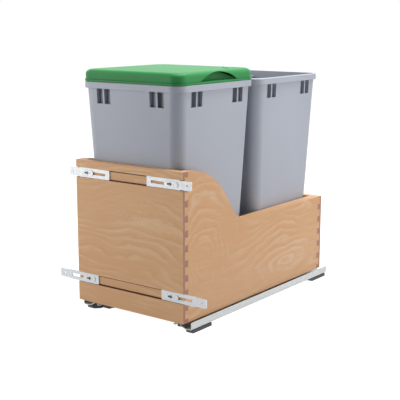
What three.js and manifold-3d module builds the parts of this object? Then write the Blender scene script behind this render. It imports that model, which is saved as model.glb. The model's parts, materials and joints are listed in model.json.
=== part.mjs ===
// Pull-out trash cabinet: a dovetailed wooden tray on full-extension undermount slides,
// two grey bins, a green lid on the front one, and sliding door brackets in the front.
// Millimetres, +Z up, the front faces -Y. Inside this file a piece is placed from the
// middle of the tray's front face at its bottom edge; the last group moves the origin
// to the floor, under the middle of the whole part.

import * as THREE from 'three';
import { mergeVertices } from 'three/addons/utils/BufferGeometryUtils.js';
import Module from 'manifold-3d';

const wasm = await Module();
wasm.setup();

// ---------------------------------------------------------------- driving dimensions
// Bins
const binRimWidth = 259.8;
const binHeight = 442.2;
const binWall = 2.5;
const binDraft = 0.044; // each wall leans in by this much per millimetre of height
const binCornerRadius = 25;
const binFootBevel = 5;
const rimHeight = 13.2;
const rimOverhang = 4.7;
const rimEdge = 1.4;
const rimCornerRadius = 27;
const binRimGap = 8; // between the rims of the two bins
const gripWidth = 15.6; // the upright recesses under the rim, in pairs
const gripHeight = 30.4;
const gripDepth = 8;
const gripSpacing = 20;
const gripPairOffset = 69.2;
const gripBossCover = 0.6; // a recess's walls start this far inside the bin's outer face

// Lid
const lidHeight = 24;
const lidLipHeight = 4;
const lidLipInset = 0.2; // the lip stands this far inside the rim
const lidLipEdge = 0.8; // the lip's lower edge is cut back by this much
const lidStep = 1.75;
const lidCornerRadius = 24;
const lidGrooveHeight = 0.9; // a fine groove runs round the lid just above its lip
const lidGrooveDepth = 1;
const lidWall = 2.2;
const lidEdgeRadius = 9.5;
const lidSkirtDepth = 8;
const lidSkirtClearance = 0.6;
const scoopLength = 125.6;
const scoopHeight = 18;
const scoopDepth = 22;
const lidRecessWidth = 5; // two shallow recesses in the lid's top, near its rear corner
const lidRecessDepth = 1.2;
const lidRecesses = [
  { x: 90.3, y: 74.5, turn: -37.5, length: 44 },
  { x: 98.7, y: 96.8, turn: 49.5, length: 22 },
];

// Wooden tray
const frontHeight = 302.4;
const rearHeight = 175.1;
const boardThickness = 16;
const shoulderRadius = 155;
const hollowRadius = 78;
const slopeAngle = THREE.MathUtils.degToRad(55);
const bottomThickness = 9;
const bottomRecess = 12.7;
const housingDepth = 6; // how far the bottom goes into the boards round it
const panelPlay = 0.3;
const glueGap = 0.15;
const guideThickness = 8;
const guideHeight = 70;
const guideClearance = 3.7;
const frontBinClearance = 0.5;
const rearBinClearance = 1.4;
const seatGap = 0.3;

// Half-blind dovetails
const lapThickness = 6;
const pinPitch = 29.6;
const pinHeight = 14.4;
const pinFlare = 1.2;
const firstPinCentre = 2.6;

// Grooves and door brackets in the front
const grooveHeight = 21;
const grooveDepth = 3.5;
const kerfHeight = 1.6; // a deeper kerf runs along each edge of a groove
const kerfCover = 0.7; // wood left between a kerf and the tails' ends
const upperGrooveDrop = 25.8;
const lowerGrooveRise = 51;
const bracketLength = 111;
const bracketHeight = 20.2;
const bracketThickness = 2;
const bracketCorner = 3;
const tabLength = 28;
const tabHeight = 17.8;
const tabHoleRadius = 2.6;
const tabHoleInset = 11.5;
const slotStart = 10.5;
const slotEnd = 76.8;
const slotHeight = 5.8;
const slidePlay = 0.1;
const upperBracketReach = 19.7; // how far the tabs stand out past the tray's sides
const lowerBracketReach = 55.3;
const clampInset = 29.75;
const clampLength = 34;
const clampHeight = 11;
const clampShoulderLength = 29;
const clampFaceDepth = 0.2;
const clampSlotLength = 8; // open to the left of the screw
const clampDimpleOffset = 8.5; // a small blind hole to the right of the screw
const clampDimpleRadius = 1.4;
const clampDimpleDepth = 0.6;
const bracketScrewInset = 30.9;
const bracketScrewLength = 13;

// Slides
const sheet = 1.5;
const bendRadius = 2.4;
const railOverhang = 5.75; // the rail's outer wall stands this far outside the tray
const railSetback = 19;
const railOverrun = 22.6; // the rail runs on behind the tray
const railWallGap = 0.9;
const railTroughWidth = 16;
const railWallHeight = 15.9;
const railWebRise = 4.5;
const railInset = 12.25; // centre of the running rails from the side's inner face
const headHalfWidth = 5;
const nestGap = 1.1;
const runnerSkirt = 16.6;
const innerFlange = 7;
const rollerDiameter = 3;
const rollerPlay = 0.1;
const rollerLength = 6.4;
const rollerCount = 6;
const cageThickness = 1;
const cageWidth = 8.6;
const cageEndMargin = 2.5;
const middleRailSetback = 11;
const middleRailShort = 26;
const drawerRailSetback = 8;
const drawerRailShort = 3.4;
const travelShort = 7; // the tray's travel is the rail's length less this

// Feet
const footHeight = 8.9;
const footGap = 0.3;
const footInset = 3.2; // the foot's outer face lies inside the rail's outer wall
const footPadWidth = 27.3;
const footChamfer = 16;
const frontFootLength = 67;
const rearFootLength = 85.5;
const frontFootSlope = 5;
const rearFootSlope = 25;
const footSetback = 5;
const footStep = 2;
const footStepInset = 1.5;
const wingReach = 93; // inner end of the foot's wing, from the tray's middle
const wingThickness = 6;
const wingRise = 2;
const wingLength = 38;
const wingLead = 29; // how far the wing starts ahead of the foot's rivet
const wingHoleRadius = 2.3;
const wingBossRadius = 6;
const rivetRadius = 1.6;
const rivetHeadRadius = 3;
const rivetHeadHeight = 1;
const rivetLength = 7;
const rivetHeadTaper = 0.8;
const frontRivetSetback = 47; // from the front end of the front foot
const rearRivetInset = 30; // from the rear end of the rear foot
const fastenerPlay = 0.15;

// Front latches, rear hooks and soft-close units
const latchWidth = 17;
const latchLength = 49;
const latchHeight = 13;
const latchNoseDepth = 6;
const latchScrewInset = 5;
const latchScrewLength = 18;
const leverThickness = 3;
const leverWidth = 8;
const leverGap = 0.3;
const leverInset = 1;
const leverHandleWidth = 16;
const leverHandleLength = 10;
const leverPivotRadius = 2;
const hookPinRadius = 2.8;
const hookPinLength = 9;
const hookInset = 9.5;
const hookBlockLength = 16;
const damperRadius = 5.4;
const damperBoreRadius = 3.6;
const damperLength = 140;
const damperSetback = 56;
const damperWall = 5;
const pistonRadius = 3.4;
const pistonLength = 6;
const pistonDepth = 80;
const rodRadius = 1.5;
const catchLength = 22;
const catchLead = 8;
const catchNotch = 3;
const strikerLength = 8;

// Small fasteners
const screwHeadRadius = 3.3;
const screwHeadHeight = 1.9;
const screwShankRadius = 1.9;
const screwEdge = 0.3; // the straight edge round the head
const screwTipLength = 2;
const recessWidth = 0.9;
const recessSpan = 4;
const recessDepth = 1.2;
const cutMargin = 1; // how far a cutting tool runs past the face that it cuts

// Facets
const endFlat = 0.1; // a fully rounded end keeps this much less than its half height
const cornerSteps = 5; // facets in a quarter turn of a bin's corner
const roundSides = 20;
const screwSides = 12;
const damperSides = 24;
const rollerSides = 8;
const weldDistance = 1e-4;

// ------------------------------------------------------------- worked-out dimensions
const binHalf = binRimWidth / 2 - rimOverhang; // the body's half width just under the rim
const rimBottom = binHeight - rimHeight;
const rimMiddle = binHeight - rimHeight / 2;
const bottomTop = bottomRecess + bottomThickness;
const binFloor = bottomTop + seatGap;
const binHalfAt = (z) => binHalf - binDraft * (rimBottom + binFloor - z);
const gripBottom = rimBottom - gripHeight;
const binPitch = binRimWidth + binRimGap;
const frontBinCentre = boardThickness + frontBinClearance + binHalfAt(frontHeight);
const rearBinCentre = frontBinCentre + binPitch;
const boxDepth = rearBinCentre + binHalfAt(rearHeight) + rearBinClearance + boardThickness;
const innerHalf = binHalfAt(rearHeight) + guideClearance + guideThickness;
const boxHalf = innerHalf + boardThickness;
const backFace = boxDepth - boardThickness; // inner face of the back board

const kerfDepth = lapThickness - kerfCover;
const upperGroove = frontHeight - upperGrooveDrop;
const lowerGroove = lowerGrooveRise;

const railOuter = boxHalf + railOverhang;
const railRear = boxDepth + railOverrun;
const railLength = railRear - railSetback;
const railCentre = innerHalf - railInset;
const rollerGap = rollerDiameter + 2 * rollerPlay;
const drawerRailTop = bottomRecess;
const middleRailTop = drawerRailTop - sheet - rollerGap;
const cabinetRailTop = middleRailTop - sheet - rollerGap;
const railBottom = -railWallGap - railWallHeight;
const troughTop = railBottom + sheet;
const webTop = troughTop + railWebRise;
const middleHalfWidth = headHalfWidth + sheet + nestGap;
const drawerHalfWidth = middleHalfWidth + sheet + nestGap;
const middleRailFront = railSetback + middleRailSetback;
const middleRailRear = railRear - middleRailShort;
const drawerRailFront = boardThickness + drawerRailSetback;
const drawerRailRear = backFace - drawerRailShort;
const runnerBottom = drawerRailTop - runnerSkirt;
const trayTravel = railLength - travelShort;
const cageFront = middleRailFront + trayTravel / 4 + cageEndMargin;
const cageRear = drawerRailRear - trayTravel / 4 - cageEndMargin;
const floorLevel = railBottom - footGap - footHeight;
const drawerRailInnerFace = railCentre - drawerHalfWidth - sheet / 2;

const latchOuter = drawerRailInnerFace - leverGap;
const latchFront = boardThickness + seatGap;
const latchBottom = bottomRecess - latchHeight;
const latchScrewTop = latchBottom + latchScrewLength;
const leverPivot = [latchOuter - leverInset - leverWidth / 2, latchFront + latchLength - leverWidth];

const damperAxis = [
  railOuter - sheet - damperRadius - nestGap,
  railBottom + sheet + damperRadius + footGap,
];
const damperRear = backFace - damperSetback;
const damperFront = damperRear - damperLength;
const catchRear = damperFront - catchLead;
const catchFront = catchRear - catchLength;

// ------------------------------------------------------------------------ materials
const paint = (color, roughness, metalness) =>
  new THREE.MeshStandardMaterial({ color, roughness, metalness });

const maple = () => paint(0xc9a278, 0.55, 0);
const greyPlastic = () => paint(0xa4a8b0, 0.45, 0);
const greenPlastic = () => paint(0x4fa868, 0.4, 0);
const zinc = () => paint(0xc4c8ca, 0.35, 0.85);
const whiteSteel = () => paint(0xe4e9ec, 0.4, 0.25);
const darkPlastic = () => paint(0x3a3b3d, 0.55, 0);
const nylon = () => paint(0xe8e6df, 0.5, 0);
const screwSteel = () => paint(0x8d8f92, 0.35, 0.9);

// ------------------------------------------------------------------- solids and cuts
const X = new THREE.Vector3(1, 0, 0);
const Y = new THREE.Vector3(0, 1, 0);
const Z = new THREE.Vector3(0, 0, 1);

function toSolid(geometry) {
  const bare = geometry.clone();
  bare.deleteAttribute('normal');
  bare.deleteAttribute('uv');
  const merged = mergeVertices(bare, weldDistance);
  return new wasm.Manifold(new wasm.Mesh({
    numProp: 3,
    vertProperties: merged.attributes.position.array,
    triVerts: new Uint32Array(merged.index.array),
  }));
}

function toGeometry(solid) {
  const mesh = solid.getMesh();
  const geometry = new THREE.BufferGeometry();
  geometry.setAttribute('position', new THREE.BufferAttribute(mesh.vertProperties.slice(), 3));
  geometry.setIndex(new THREE.BufferAttribute(mesh.triVerts.slice(), 1));
  return geometry;
}

const join = (first, ...others) => others.reduce((sum, solid) => sum.add(solid), first);
const cut = (body, ...tools) => tools.reduce((rest, tool) => rest.subtract(tool), body);

// A box from its limits along each axis.
function block([x0, x1], [y0, y1], [z0, z1]) {
  const geometry = new THREE.BoxGeometry(x1 - x0, y1 - y0, z1 - z0);
  geometry.translate((x0 + x1) / 2, (y0 + y1) / 2, (z0 + z1) / 2);
  return toSolid(geometry);
}

// A round bar between two values along 'x', 'y' or 'z', through a centre.
function rod(axis, from, to, radius, centre, sides = roundSides) {
  const geometry = new THREE.CylinderGeometry(radius, radius, to - from, sides);
  const middle = (from + to) / 2;
  if (axis === 'x') {
    geometry.rotateZ(Math.PI / 2).translate(middle, centre[0], centre[1]);
  } else if (axis === 'y') {
    geometry.translate(centre[0], middle, centre[1]);
  } else {
    geometry.rotateX(Math.PI / 2).translate(centre[0], centre[1], middle);
  }
  return toSolid(geometry);
}

// An outline pushed along 'x' (drawn in Y, Z), 'y' (drawn in X, Z) or 'z' (drawn in X, Y).
function extrude(shape, axis, from, to, curveSegments = 6) {
  const depth = to - from;
  const geometry = new THREE.ExtrudeGeometry(shape, { depth, bevelEnabled: false, curveSegments });
  geometry.translate(0, 0, axis === 'y' ? -to : from);
  const bases = { x: [Y, Z, X], y: [X, Z, Y.clone().negate()], z: [X, Y, Z] };
  geometry.applyMatrix4(new THREE.Matrix4().makeBasis(...bases[axis]));
  return toSolid(geometry);
}

const outline = (points) => new THREE.Shape(points.map(([u, v]) => new THREE.Vector2(u, v)));

function roundedRect(u0, u1, v0, v1, radius, path = new THREE.Shape()) {
  path.absarc(u1 - radius, v0 + radius, radius, -Math.PI / 2, 0);
  path.absarc(u1 - radius, v1 - radius, radius, 0, Math.PI / 2);
  path.absarc(u0 + radius, v1 - radius, radius, Math.PI / 2, Math.PI);
  path.absarc(u0 + radius, v0 + radius, radius, Math.PI, 1.5 * Math.PI);
  path.closePath();
  return path;
}

// A slot's outline: straight between u0 and u1, with rounded ends.
const roundEnded = (u0, u1, half, path) => roundedRect(u0, u1, -half, half, half - endFlat, path);

// A square tub form with round corners: each level gives a height and a half width.
function tub(levels, radius) {
  const base = levels[0].half;
  const steps = levels.length - 1;
  const shape = roundedRect(-base, base, -base, base, radius);
  const geometry = new THREE.ExtrudeGeometry(shape, {
    depth: steps, steps, bevelEnabled: false, curveSegments: cornerSteps,
  });
  const position = geometry.attributes.position;
  for (let i = 0; i < position.count; i += 1) {
    const level = levels[Math.round(position.getZ(i))];
    const grow = level.half - base;
    const x = position.getX(i);
    const y = position.getY(i);
    position.setXYZ(i, x + Math.sign(x) * grow, y + Math.sign(y) * grow, level.z);
  }
  return toSolid(geometry);
}

// The section of a bent sheet that follows a centre line, with rounded bends.
function bentSheet(corners) {
  const points = corners.map(([x, z]) => new THREE.Vector2(x, z));
  const path = new THREE.Path();
  path.moveTo(points[0].x, points[0].y);
  for (let i = 1; i < points.length - 1; i += 1) {
    const corner = points[i];
    const before = points[i - 1].clone().sub(corner).setLength(bendRadius).add(corner);
    const after = points[i + 1].clone().sub(corner).setLength(bendRadius).add(corner);
    path.lineTo(before.x, before.y);
    path.quadraticCurveTo(corner.x, corner.y, after.x, after.y);
  }
  const last = points[points.length - 1];
  path.lineTo(last.x, last.y);

  const line = path.getPoints(3);
  const offset = (sign) => line.map((point, i) => {
    const back = i > 0 ? point.clone().sub(line[i - 1]).normalize() : null;
    const ahead = i < line.length - 1 ? line[i + 1].clone().sub(point).normalize() : null;
    const from = back ?? ahead;
    const to = ahead ?? back;
    const along = from.clone().add(to).normalize();
    const reach = (sign * sheet) / 2 / along.dot(to);
    return new THREE.Vector2(point.x - along.y * reach, point.y + along.x * reach);
  });
  return new THREE.Shape([...offset(-1), ...offset(1).reverse()]);
}

// A countersunk wood screw whose head lies at the origin and whose shank points to +Y.
function countersunkScrew(length) {
  const profile = [
    [0, 0], [screwHeadRadius, 0], [screwHeadRadius, screwEdge],
    [screwShankRadius, screwHeadHeight], [screwShankRadius, length - screwTipLength], [0, length],
  ].map(([r, y]) => new THREE.Vector2(r, y));
  const body = toSolid(new THREE.LatheGeometry(profile, screwSides));
  const half = recessSpan / 2;
  const thin = recessWidth / 2;
  return cut(
    body,
    block([-half, half], [-cutMargin, recessDepth], [-thin, thin]),
    block([-thin, thin], [-cutMargin, recessDepth], [-half, half]),
  );
}

// The clearance hole for that screw, a little larger all round and open at the head.
function countersunkHole(length) {
  const profile = [
    [0, -cutMargin], [screwHeadRadius + fastenerPlay, -cutMargin],
    [screwHeadRadius + fastenerPlay, screwEdge + fastenerPlay],
    [screwShankRadius + fastenerPlay, screwHeadHeight + fastenerPlay],
    [screwShankRadius + fastenerPlay, length + fastenerPlay], [0, length + fastenerPlay],
  ].map(([r, y]) => new THREE.Vector2(r, y));
  return toSolid(new THREE.LatheGeometry(profile, screwSides));
}

// -------------------------------------------------------------------- building a tree
const cabinet = new THREE.Group();

function addMesh(name, geometry, material, x = 0, y = 0, z = 0) {
  const mesh = new THREE.Mesh(geometry, material);
  mesh.name = name;
  mesh.position.set(x, y, z);
  cabinet.add(mesh);
}

const addPiece = (name, solid, material, x, y, z) =>
  addMesh(name, toGeometry(solid), material, x, y, z);

// A geometry seen in a mirror across one plane; turning its triangles keeps it facing out.
function reflect(geometry, x, y) {
  const copy = geometry.clone();
  copy.scale(x, y, 1);
  const index = copy.index.array;
  for (let i = 0; i < index.length; i += 3) {
    [index[i], index[i + 1]] = [index[i + 1], index[i]];
  }
  return copy;
}

const mirrored = (geometry) => reflect(geometry, -1, 1);
const mirrorWidth = (solid) => toSolid(mirrored(toGeometry(solid)));
const mirrorDepth = (solid) =>
  toSolid(reflect(toGeometry(solid), 1, -1).translate(0, boxDepth, 0));

// A piece drawn for the right-hand side, and its twin on the left.
function addPair(name, solid, material, x = 0, y = 0, z = 0) {
  const geometry = toGeometry(solid);
  addMesh(`right_${name}`, geometry, material(), x, y, z);
  addMesh(`left_${name}`, mirrored(geometry), material(), -x, y, z);
}

// ------------------------------------------------------------------------- dovetails
// The pins are what the front and back boards show between the tails of the sides.
function pinsOn(height) {
  const pins = [];
  for (let centre = firstPinCentre; centre - pinHeight / 2 < height; centre += pinPitch) {
    pins.push({
      bottom: Math.max(0, centre - pinHeight / 2),
      top: Math.min(height, centre + pinHeight / 2),
    });
  }
  return pins;
}

// Tails between those pins, at the front of a side; grow makes the socket for them.
function tails(height, grow) {
  const pins = pinsOn(height);
  const tip = lapThickness + glueGap - grow;
  const root = boardThickness + cutMargin;
  return pins.slice(1).map((pin, i) => {
    const low = pins[i].top + glueGap - grow;
    const high = pin.bottom - glueGap + grow;
    const shape = outline([
      [root, low], [root, high], [boardThickness, high],
      [tip, high + pinFlare], [tip, low - pinFlare], [boardThickness, low],
    ]);
    return extrude(shape, 'x', innerHalf - grow, boxHalf + (grow > 0 ? cutMargin : 0));
  });
}

// --------------------------------------------------------------------- wooden boards
function bottomHousing() {
  const reach = housingDepth;
  return block(
    [-innerHalf - reach, innerHalf + reach],
    [boardThickness - reach, backFace + reach],
    [bottomRecess - glueGap, bottomTop + glueGap],
  );
}

// Outline of a side in Y, Z: high behind the front board, an S down to the low rear.
function sideShape() {
  const front = boardThickness + glueGap;
  const rear = backFace - glueGap;
  const bend = 1 - Math.cos(slopeAngle);
  const straight = frontHeight - rearHeight - (shoulderRadius + hollowRadius) * bend;
  const shoulderEnd = front + shoulderRadius * Math.sin(slopeAngle);
  const hollowStart = shoulderEnd + straight / Math.tan(slopeAngle);
  const hollowEnd = hollowStart + hollowRadius * Math.sin(slopeAngle);
  const up = Math.PI / 2;
  const shape = new THREE.Shape();
  shape.moveTo(rear, 0);
  shape.lineTo(rear, rearHeight);
  shape.absarc(hollowEnd, rearHeight + hollowRadius, hollowRadius, -up, -up - slopeAngle, true);
  shape.absarc(front, frontHeight - shoulderRadius, shoulderRadius, up - slopeAngle, up);
  shape.lineTo(front, 0);
  shape.closePath();
  return shape;
}

function sideBoard() {
  const board = extrude(sideShape(), 'x', innerHalf, boxHalf, 8);
  const frontTails = tails(frontHeight, 0);
  const rearTails = tails(rearHeight, 0).map(mirrorDepth);
  return cut(join(board, ...frontTails, ...rearTails), bottomHousing());
}

function frontPanel() {
  const panel = block([-boxHalf, boxHalf], [0, boardThickness], [0, frontHeight]);
  const sockets = tails(frontHeight, glueGap);
  const across = [-boxHalf - cutMargin, boxHalf + cutMargin];
  const grooves = [upperGroove, lowerGroove].flatMap((z) => {
    const [low, high] = [z - grooveHeight / 2, z + grooveHeight / 2];
    return [
      block(across, [-cutMargin, grooveDepth], [low, high]),
      block(across, [-cutMargin, kerfDepth], [low, low + kerfHeight]),
      block(across, [-cutMargin, kerfDepth], [high - kerfHeight, high]),
    ];
  });
  const holes = [];
  for (const z of [upperGroove, lowerGroove]) {
    for (const side of [-1, 1]) {
      const at = [side * (boxHalf - bracketScrewInset), z];
      const end = clampFaceDepth + bracketScrewLength + fastenerPlay;
      holes.push(rod('y', 0, end, screwShankRadius + fastenerPlay, at, screwSides));
    }
  }
  return cut(panel, ...sockets, ...sockets.map(mirrorWidth), ...grooves, ...holes, bottomHousing());
}

// The back board is notched at its lower corners, where the slides run through.
function backPanel() {
  const panel = block([-boxHalf, boxHalf], [backFace, boxDepth], [0, rearHeight]);
  const sockets = tails(rearHeight, glueGap).map(mirrorDepth);
  const through = [backFace - cutMargin, boxDepth + cutMargin];
  const notch = block(
    [railCentre - drawerHalfWidth - 2 * nestGap, innerHalf + glueGap],
    through,
    [-cutMargin, bottomRecess - glueGap],
  );
  const pinAt = [drawerRailInnerFace - hookInset, bottomRecess / 2];
  const hookHole = rod('y', backFace - cutMargin, backFace + hookPinLength + cutMargin,
    hookPinRadius + panelPlay, pinAt);
  return cut(panel, ...sockets, ...sockets.map(mirrorWidth), notch, mirrorWidth(notch),
    hookHole, mirrorWidth(hookHole), bottomHousing());
}

function bottomPanel() {
  const reach = housingDepth - panelPlay;
  const panel = block(
    [-innerHalf - reach, innerHalf + reach],
    [boardThickness - reach, backFace + reach],
    [bottomRecess, bottomTop],
  );
  const holes = latchScrewPlaces().map(([x, y]) => rod('z', bottomRecess - cutMargin,
    latchScrewTop + fastenerPlay, screwShankRadius + fastenerPlay, [x, y], screwSides));
  return cut(panel, ...holes, ...holes.map(mirrorWidth));
}

const binGuide = () => block(
  [innerHalf - guideThickness, innerHalf],
  [boardThickness + seatGap, backFace - seatGap],
  [rearHeight - guideHeight, rearHeight],
);

addPiece('front_panel', frontPanel(), maple());
addPiece('back_panel', backPanel(), maple());
addPair('side', sideBoard(), maple);
addPiece('bottom_panel', bottomPanel(), maple());
addPair('bin_guide', binGuide(), maple);

// ------------------------------------------------------------------------------ bins
// A bin stands on z = 0 here, in the middle of its own width and depth.
function gripTool(side, along, grow) {
  const half = gripWidth / 2 + grow;
  const inner = binHalf - gripDepth - grow;
  const hidden = binHalf - binDraft * (gripHeight + grow) - gripBossCover;
  const outer = grow > 0 ? hidden : binHalf + cutMargin;
  const height = [gripBottom - grow, rimBottom];
  const reach = [Math.min(side * inner, side * outer), Math.max(side * inner, side * outer)];
  return [
    block(reach, [along - half, along + half], height),
    block([along - half, along + half], reach, height),
  ];
}

function grips(grow) {
  const tools = [];
  for (const side of [-1, 1]) {
    for (const pair of [-gripPairOffset, gripPairOffset]) {
      for (const half of [-gripSpacing / 2, gripSpacing / 2]) {
        tools.push(...gripTool(side, pair + half, grow));
      }
    }
  }
  return tools;
}

function bin() {
  const halfAt = (z) => binHalf - binDraft * (rimBottom - z);
  const shell = tub([
    { z: 0, half: halfAt(0) - binFootBevel },
    { z: binFootBevel, half: halfAt(binFootBevel) },
    { z: rimMiddle, half: halfAt(rimMiddle) },
  ], binCornerRadius);
  const rim = tub([
    { z: rimBottom, half: binRimWidth / 2 },
    { z: binHeight - rimEdge, half: binRimWidth / 2 },
    { z: binHeight, half: binRimWidth / 2 - rimEdge },
  ], rimCornerRadius);
  const hollow = tub([
    { z: binWall, half: halfAt(binWall) - binWall - binFootBevel },
    { z: binWall + binFootBevel, half: halfAt(binWall + binFootBevel) - binWall },
    { z: binHeight + cutMargin, half: halfAt(binHeight + cutMargin) - binWall },
  ], binCornerRadius - binWall);
  const walls = cut(join(shell, rim), hollow);
  return cut(join(walls, ...grips(binWall)), ...grips(0));
}

const binGeometry = toGeometry(bin());
addMesh('front_bin', binGeometry, greyPlastic(), 0, frontBinCentre, binFloor);
addMesh('rear_bin', binGeometry.clone(), greyPlastic(), 0, rearBinCentre, binFloor);

// ------------------------------------------------------------------------------- lid
// The lid stands on z = 0, the top of the rim, with its skirt reaching down inside.
const lidHalf = binRimWidth / 2 - lidLipInset - lidStep;

function lidForm(inset, base) {
  const levels = [{ z: base, half: lidHalf - inset }];
  const steps = 5;
  const crown = lidEdgeRadius - inset;
  for (let i = 0; i <= steps; i += 1) {
    const angle = (Math.PI / 2) * (i / steps);
    levels.push({
      z: lidHeight - lidEdgeRadius + crown * Math.sin(angle),
      half: lidHalf - lidEdgeRadius + crown * Math.cos(angle),
    });
  }
  return tub(levels, lidCornerRadius);
}

// The arched finger scoop in the right side: an arch seen from the side, an arc from above.
function scoopTool(grow) {
  const half = scoopLength / 2 + grow;
  const height = scoopHeight + grow;
  const depth = scoopDepth + grow;
  const archRadius = (half * half + height * height) / (2 * height);
  const planRadius = (half * half + depth * depth) / (2 * depth);
  const archAngle = Math.asin(half / archRadius);
  const planAngle = Math.asin(half / planRadius);
  const up = Math.PI / 2;
  const floor = lidLipHeight - grow; // level with the top of the lip

  const arch = new THREE.Shape();
  arch.absarc(0, floor + height - archRadius, archRadius, up - archAngle, up + archAngle);
  arch.closePath();
  const plan = new THREE.Shape();
  plan.absarc(lidHalf - depth + planRadius, 0, planRadius, Math.PI - planAngle, Math.PI + planAngle);
  plan.lineTo(lidHalf + lidEdgeRadius, -half);
  plan.lineTo(lidHalf + lidEdgeRadius, half);
  plan.closePath();
  const across = extrude(arch, 'x', lidHalf - depth - cutMargin, lidHalf + lidEdgeRadius, 12);
  return across.intersect(extrude(plan, 'z', floor - cutMargin, lidHeight + cutMargin, 12));
}

function recessTool({ x, y, turn, length }) {
  const shape = roundEnded(-length / 2, length / 2, lidRecessWidth / 2);
  const solid = extrude(shape, 'z', lidHeight - lidRecessDepth, lidHeight + cutMargin, 3);
  const geometry = toGeometry(solid).rotateZ(THREE.MathUtils.degToRad(turn));
  return toSolid(geometry.translate(x, y, 0));
}

// A square ring round the lid's sides.
function grooveTool() {
  const ring = (half, radius) => tub([
    { z: lidLipHeight, half }, { z: lidLipHeight + lidGrooveHeight, half },
  ], radius);
  const inside = ring(lidHalf - lidGrooveDepth, lidCornerRadius - lidGrooveDepth);
  return cut(ring(lidHalf + lidStep + cutMargin, lidCornerRadius + lidStep), inside);
}

function lid() {
  const lipHalf = binRimWidth / 2 - lidLipInset;
  const skirtHalf = binHalf + binDraft * rimHeight - binWall - lidSkirtClearance;
  const outer = lidForm(0, 0);
  const lip = tub([
    { z: 0, half: lipHalf - lidLipEdge },
    { z: lidLipEdge, half: lipHalf },
    { z: lidLipHeight, half: lipHalf },
  ], lidCornerRadius + lidStep);
  const skirt = tub([
    { z: -lidSkirtDepth, half: skirtHalf - lidSkirtDepth * binDraft },
    { z: lidLipHeight, half: skirtHalf },
  ], binCornerRadius - binWall);
  const opening = tub([
    { z: -lidSkirtDepth - cutMargin, half: skirtHalf - lidWall - lidSkirtDepth * binDraft },
    { z: lidLipHeight + cutMargin, half: skirtHalf - lidWall },
  ], binCornerRadius - binWall - lidWall);
  const shell = cut(join(outer, lip, skirt), lidForm(lidWall, lidWall), opening);
  const boss = scoopTool(lidWall).intersect(outer);
  return cut(join(shell, boss), grooveTool(), scoopTool(0), ...lidRecesses.map(recessTool));
}

addPiece('front_bin_lid', lid(), greenPlastic(), 0, frontBinCentre, binFloor + binHeight + seatGap);

// --------------------------------------------------------------------- door brackets
// A bracket is drawn from its inner end at x = 0, its back on y = 0, its middle on z = 0.
function bracket() {
  const half = bracketHeight / 2;
  const tabHalf = tabHeight / 2;
  const tabStart = bracketLength - tabLength;
  const shape = new THREE.Shape();
  shape.moveTo(0, -half);
  shape.lineTo(tabStart, -half);
  shape.lineTo(tabStart + half - tabHalf, -tabHalf);
  shape.absarc(bracketLength - bracketCorner, -tabHalf + bracketCorner, bracketCorner,
    -Math.PI / 2, 0);
  shape.absarc(bracketLength - bracketCorner, tabHalf - bracketCorner, bracketCorner,
    0, Math.PI / 2);
  shape.lineTo(tabStart + half - tabHalf, tabHalf);
  shape.lineTo(tabStart, half);
  shape.lineTo(0, half);
  shape.closePath();
  shape.holes.push(roundEnded(slotStart, slotEnd, slotHeight / 2, new THREE.Path()));
  const hole = new THREE.Path();
  hole.absarc(bracketLength - tabHoleInset, 0, tabHoleRadius, 0, 2 * Math.PI);
  shape.holes.push(hole);
  return extrude(shape, 'y', -bracketThickness, 0, 3);
}

// The clamp holds the bracket in its groove: a flat face, a shoulder in the bracket's
// slot, and a slotted hole for the screw, which is open to the left on both sides.
function clamp(side) {
  const faceBack = grooveDepth - slidePlay - bracketThickness - slidePlay;
  const half = clampLength / 2;
  const shoulder = clampShoulderLength / 2;
  const shoulderHalf = slotHeight / 2 - fastenerPlay;
  const face = roundEnded(-half, half, clampHeight / 2);
  const plate = extrude(face, 'y', clampFaceDepth, faceBack, 3);
  const ribShape = roundEnded(-shoulder, shoulder, shoulderHalf);
  const rib = extrude(ribShape, 'y', faceBack - slidePlay, grooveDepth, 2);
  const screwX = side * (clampInset - bracketScrewInset);
  const hole = toGeometry(countersunkHole(bracketScrewLength));
  hole.translate(screwX, clampFaceDepth, 0);
  const slotHalf = screwShankRadius + fastenerPlay;
  const slot = extrude(roundEnded(screwX - clampSlotLength, screwX + slotHalf, slotHalf),
    'y', 0, grooveDepth + cutMargin, 3);
  const dimple = rod('y', 0, clampFaceDepth + clampDimpleDepth, clampDimpleRadius,
    [screwX + clampDimpleOffset, 0], screwSides);
  return cut(join(plate, rib), toSolid(hole), slot, dimple);
}

const bracketGeometry = toGeometry(bracket());
const bracketScrewGeometry = toGeometry(countersunkScrew(bracketScrewLength));
const bracketRows = [
  { name: 'upper', z: upperGroove, reach: upperBracketReach },
  { name: 'lower', z: lowerGroove, reach: lowerBracketReach },
];

for (const { name, z, reach } of bracketRows) {
  const innerEnd = boxHalf + reach - bracketLength;
  const back = grooveDepth - slidePlay;
  const sides = [['right', 1, (geometry) => geometry.clone()], ['left', -1, mirrored]];
  for (const [side, sign, place] of sides) {
    const label = `${name}_${side}`;
    const clampX = sign * (boxHalf - clampInset);
    const screwX = sign * (boxHalf - bracketScrewInset);
    addMesh(`${label}_bracket`, place(bracketGeometry), whiteSteel(), sign * innerEnd, back, z);
    addPiece(`${label}_clamp`, clamp(sign), whiteSteel(), clampX, 0, z);
    addMesh(`${label}_screw`, place(bracketScrewGeometry), screwSteel(),
      screwX, clampFaceDepth, z);
  }
}

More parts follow.
